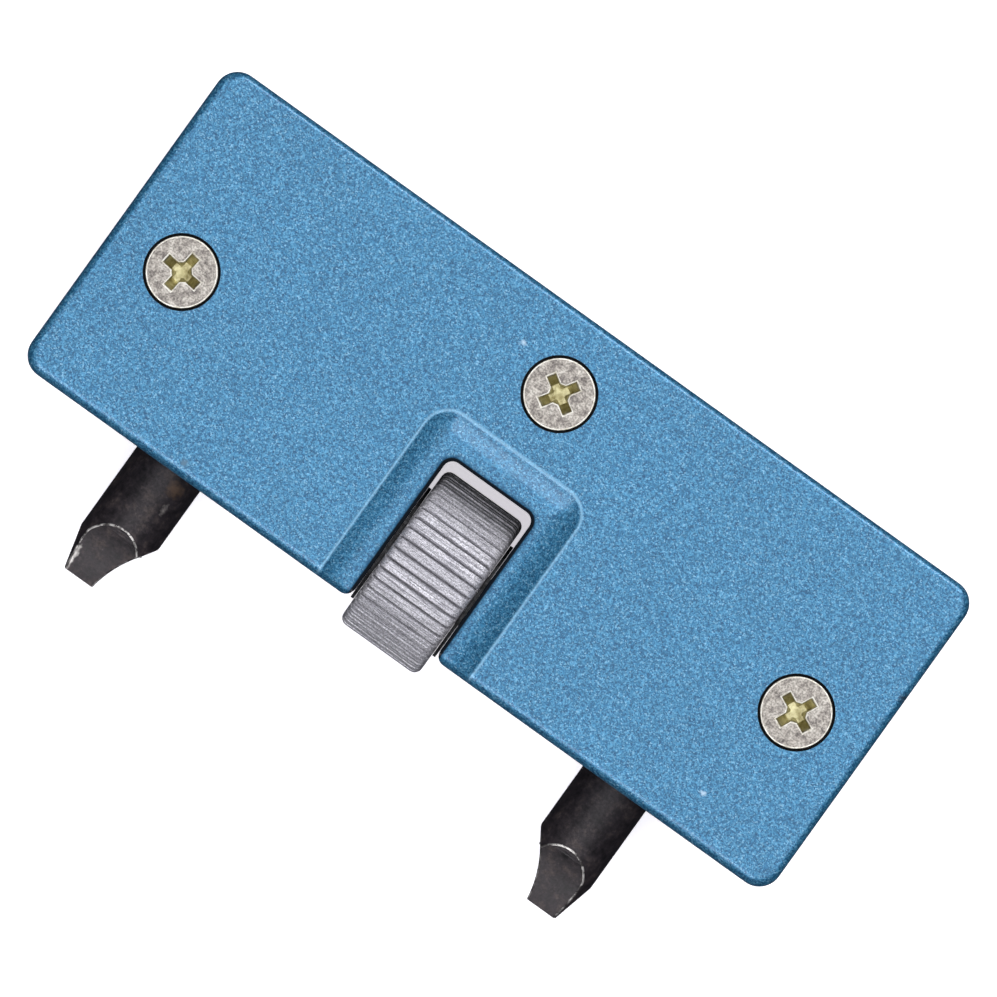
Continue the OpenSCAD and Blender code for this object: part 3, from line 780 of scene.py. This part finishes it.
oxide, oxide_shader, oxide_place = new_material("black_oxide")
mottle = node(oxide, "ShaderNodeTexNoise", {"Vector": oxide_place, "Scale": 0.9, "Detail": 6.0,
                                            "Roughness": 0.7})
rub = node(oxide, "ShaderNodeTexNoise", {"Vector": oxide_place, "Scale": 3.2, "Detail": 8.0,
                                         "Roughness": 0.75})
tint = ramp(oxide, mottle.outputs["Fac"], (0.30, (0.010, 0.009, 0.011)), (0.52, (0.036, 0.029, 0.034)),
            (0.72, (0.095, 0.074, 0.070)))
speck = ramp(oxide, rub.outputs["Fac"], (0.36, 0.45), (0.62, 1.0))
tint = mixed(oxide, 1.0, tint, speck, "MULTIPLY")
bare = ramp(oxide, rub.outputs["Fac"], (0.64, 0.0), (0.74, 0.5))
tint = mixed(oxide, bare, tint, (0.20, 0.18, 0.17))
RUST, SCRATCH, PALE_TIP_STRIP = (0.095, 0.060, 0.042), (0.300, 0.270, 0.260), (0.640, 0.610, 0.590)
# A rust patch, a scratch, and a stretched pale strip along the left claw's outer facet edge near its tip
for place, radius, stretch, colour in (((-22.4, -17.2, 11.5), 0.6, (1, 1, 0.3), RUST),
                                       ((-22.2, -19.2, 11.4), 0.1, (1.5, 0.6, 0.5), SCRATCH),
                                       ((-26.3, -27.2, 9.6), 0.32, (2.2, 0.36, 0.4), PALE_TIP_STRIP)):
    tint = mixed(oxide, spot(oxide, oxide_place, on_case(*place), radius, 0.3, stretch), tint, colour)
link(oxide, tint, oxide_shader.inputs["Base Color"])
oxide_shader.inputs["Metallic"].default_value = 0.3
oxide_shader.inputs["Specular IOR Level"].default_value = 0.35
oxide_rough = ramp(oxide, mottle.outputs["Fac"], (0.3, 0.38), (0.7, 0.58))
link(oxide, oxide_rough, oxide_shader.inputs["Roughness"])
oxide_bump = node(oxide, "ShaderNodeBump", {"Strength": 0.5, "Distance": 0.00003,
                                            "Height": rub.outputs["Fac"]})
link(oxide, oxide_bump.outputs["Normal"], oxide_shader.inputs["Normal"])

bare_steel, bare_shader, bare_place = new_material("bare_ground_edge")
worn = node(bare_steel, "ShaderNodeTexNoise", {"Vector": bare_place, "Scale": 1.6, "Detail": 4.0})
bare_tint = ramp(bare_steel, worn.outputs["Fac"], (0.42, (0.05, 0.045, 0.045)), (0.60, (0.50, 0.48, 0.47)))
link(bare_steel, bare_tint, bare_shader.inputs["Base Color"])
bare_shader.inputs["Metallic"].default_value = 0.6
bare_shader.inputs["Roughness"].default_value = 0.4

claw_right = make_claw()
claw_left = claw_right.copy()
claw_left.data = claw_right.data.copy()
scene.collection.objects.link(claw_left)
for side, claw in ((-1, claw_left), (1, claw_right)):
    end = "left" if side < 0 else "right"
    place = Matrix.Translation(on_case(side * CLAW_X, 0, HALF_T))
    finish_piece(claw, f"blade_claw_{end}", f"{end}_jaw", [f"claw_{end}"],
                 place @ Matrix.Scale(side, 4, (1, 0, 0)))
    claw.data.materials.append(oxide)
    claw.data.materials.append(bare_steel)

# Spindle. One turned steel rod with a plain middle for the wheel, plain ends in the bushes, and a
# cut thread on each side: right-hand towards +X and left-hand towards -X, 0.7 mm from turn to turn.
SPINDLE_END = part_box("spindle")[1].x * MM
THREAD_R, THREAD_PITCH, THREAD_DEEP = 2.0, 0.7, 0.36
THREAD_FROM, THREAD_TO, HUB_R, JOURNAL_R, END_BEVEL = WELL_OUT, HALF_L - 6, 2.49, 1.5, 0.3
THREAD_STEPS = 24               # sides to one turn of the thread

spindle = round_bar("spindle_rod", HUB_R, (-THREAD_FROM, 0, 0), (THREAD_FROM, 0, 0), 48)
turns = int((THREAD_TO - THREAD_FROM) / THREAD_PITCH) - 1
for side in (-1, 1):
    cut(spindle, round_bar("core", THREAD_R - THREAD_DEEP, (side * (THREAD_FROM - 1), 0, 0),
                           (side * THREAD_TO, 0, 0), 48), "UNION")
    cut(spindle, round_bar("journal", JOURNAL_R, (side * (THREAD_TO - 1), 0, 0),
                           (side * SPINDLE_END, 0, 0), 48), "UNION")
pick(spindle, lambda e: all(abs(abs(v.co.x) - SPINDLE_END) < 0.01 for v in e.verts), "EDGE")
bevel_picked(END_BEVEL, 2)
for side in (-1, 1):
    # The ridge of the thread: a triangle with a narrow flat top, wound round the rod
    ridge = block("thread_ridge", (0, THREAD_R - THREAD_DEEP - 0.1, -0.01),
                  (THREAD_PITCH * 0.8, THREAD_R, 0.01))
    pick(ridge, lambda v: v.co.y > THREAD_R - 0.01, "VERT")
    bpy.ops.transform.resize(value=(0.25, 1, 1), center_override=(THREAD_PITCH * 0.4, THREAD_R, 0))
    done()
    pick(ridge, lambda f: f.normal.z < 0.5)
    bpy.ops.mesh.delete(type="FACE")
    bpy.ops.mesh.select_all(action="SELECT")
    bpy.ops.transform.translate(value=(0, 0, -0.01))
    bpy.ops.mesh.delete(type="ONLY_FACE")
    done()
    apply_modifier(ridge, "SCREW", axis="X", angle=2 * pi * turns, screw_offset=THREAD_PITCH * turns,
                   iterations=1, steps=THREAD_STEPS * turns, render_steps=THREAD_STEPS * turns,
                   use_smooth_shade=False)
    edit(ridge, "EDGE")
    bpy.ops.mesh.select_non_manifold()
    bpy.ops.mesh.edge_face_add()
    bpy.ops.mesh.select_all(action="SELECT")
    bpy.ops.mesh.normals_make_consistent(inside=False)
    done()
    ridge.data.transform(Matrix.Translation((side * (THREAD_FROM + 0.1), 0, 0))
                         @ Matrix.Scale(side, 4, (1, 0, 0)))
    if side < 0:
        ridge.data.flip_normals()
    bpy.ops.object.select_all(action="DESELECT")
    ridge.select_set(True)
    spindle.select_set(True)
    bpy.context.view_layer.objects.active = spindle
    bpy.ops.object.join()
finish_piece(spindle, "threaded_spindle", "screw_shaft", ["spindle"],
             Matrix.Translation(WHEEL_MID), weighted=False)


def worked_metal(name, dark, light, stretch, rough, metallic=0.85):
    """Metal with tool marks: streaks drawn out along one axis, and a little oil in the low places."""
    metal, shader, place = new_material(name)
    drawn = node(metal, "ShaderNodeMapping", {"Vector": place, "Scale": stretch})
    marks = node(metal, "ShaderNodeTexNoise", {"Vector": drawn.outputs["Vector"], "Scale": 1.5,
                                               "Detail": 5.0}).outputs["Fac"]
    link(metal, ramp(metal, marks, (0.34, dark), (0.64, light)), shader.inputs["Base Color"])
    link(metal, ramp(metal, marks, (0.3, rough + 0.12), (0.7, rough)), shader.inputs["Roughness"])
    shader.inputs["Metallic"].default_value = metallic
    return metal


turned_steel = worked_metal("turned_steel", (0.22, 0.22, 0.23), (0.52, 0.52, 0.54), (6, 1, 1), 0.30)
spindle.data.materials.append(turned_steel)

# Carriers, nuts and bushes. Milled steel blocks run in the channel of the body. A round brass nut is
# pressed into each, and brass bushes clamped between the castings carry the ends of the spindle.
milled_steel = worked_metal("milled_steel", (0.16, 0.16, 0.17), (0.40, 0.40, 0.42), (1, 5, 1), 0.38)
turned_brass = worked_metal("turned_brass", (0.50, 0.36, 0.14), (0.80, 0.61, 0.29), (6, 1, 1), 0.28)


def finish_cad(metal, *names):
    """Gives parts that stay as they were designed their metal."""
    for name in names:
        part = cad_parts[name]
        part.data.materials.clear()
        part.data.materials.append(metal)


finish_cad(milled_steel, "carrier_left", "carrier_right")
finish_cad(turned_brass, "nut_left", "nut_right", "end_bush_left", "end_bush_right")

# Washers, dowels and pins. Oiled spring-steel washers fill the gaps beside the wheel, ground dowels
# line the castings up, and a slit spring pin holds each claw in its carrier.
oiled_steel = worked_metal("oiled_washer_steel", (0.012, 0.012, 0.014), (0.060, 0.060, 0.066), (1, 2, 2),
                           0.5, 0.4)
ground_steel = worked_metal("ground_steel", (0.30, 0.30, 0.31), (0.62, 0.62, 0.64), (2, 2, 6), 0.25)
finish_cad(oiled_steel, "thrust_washer_left", "thrust_washer_right")
finish_cad(ground_steel, "dowel_left", "dowel_right", "claw_pin_left", "claw_pin_right")
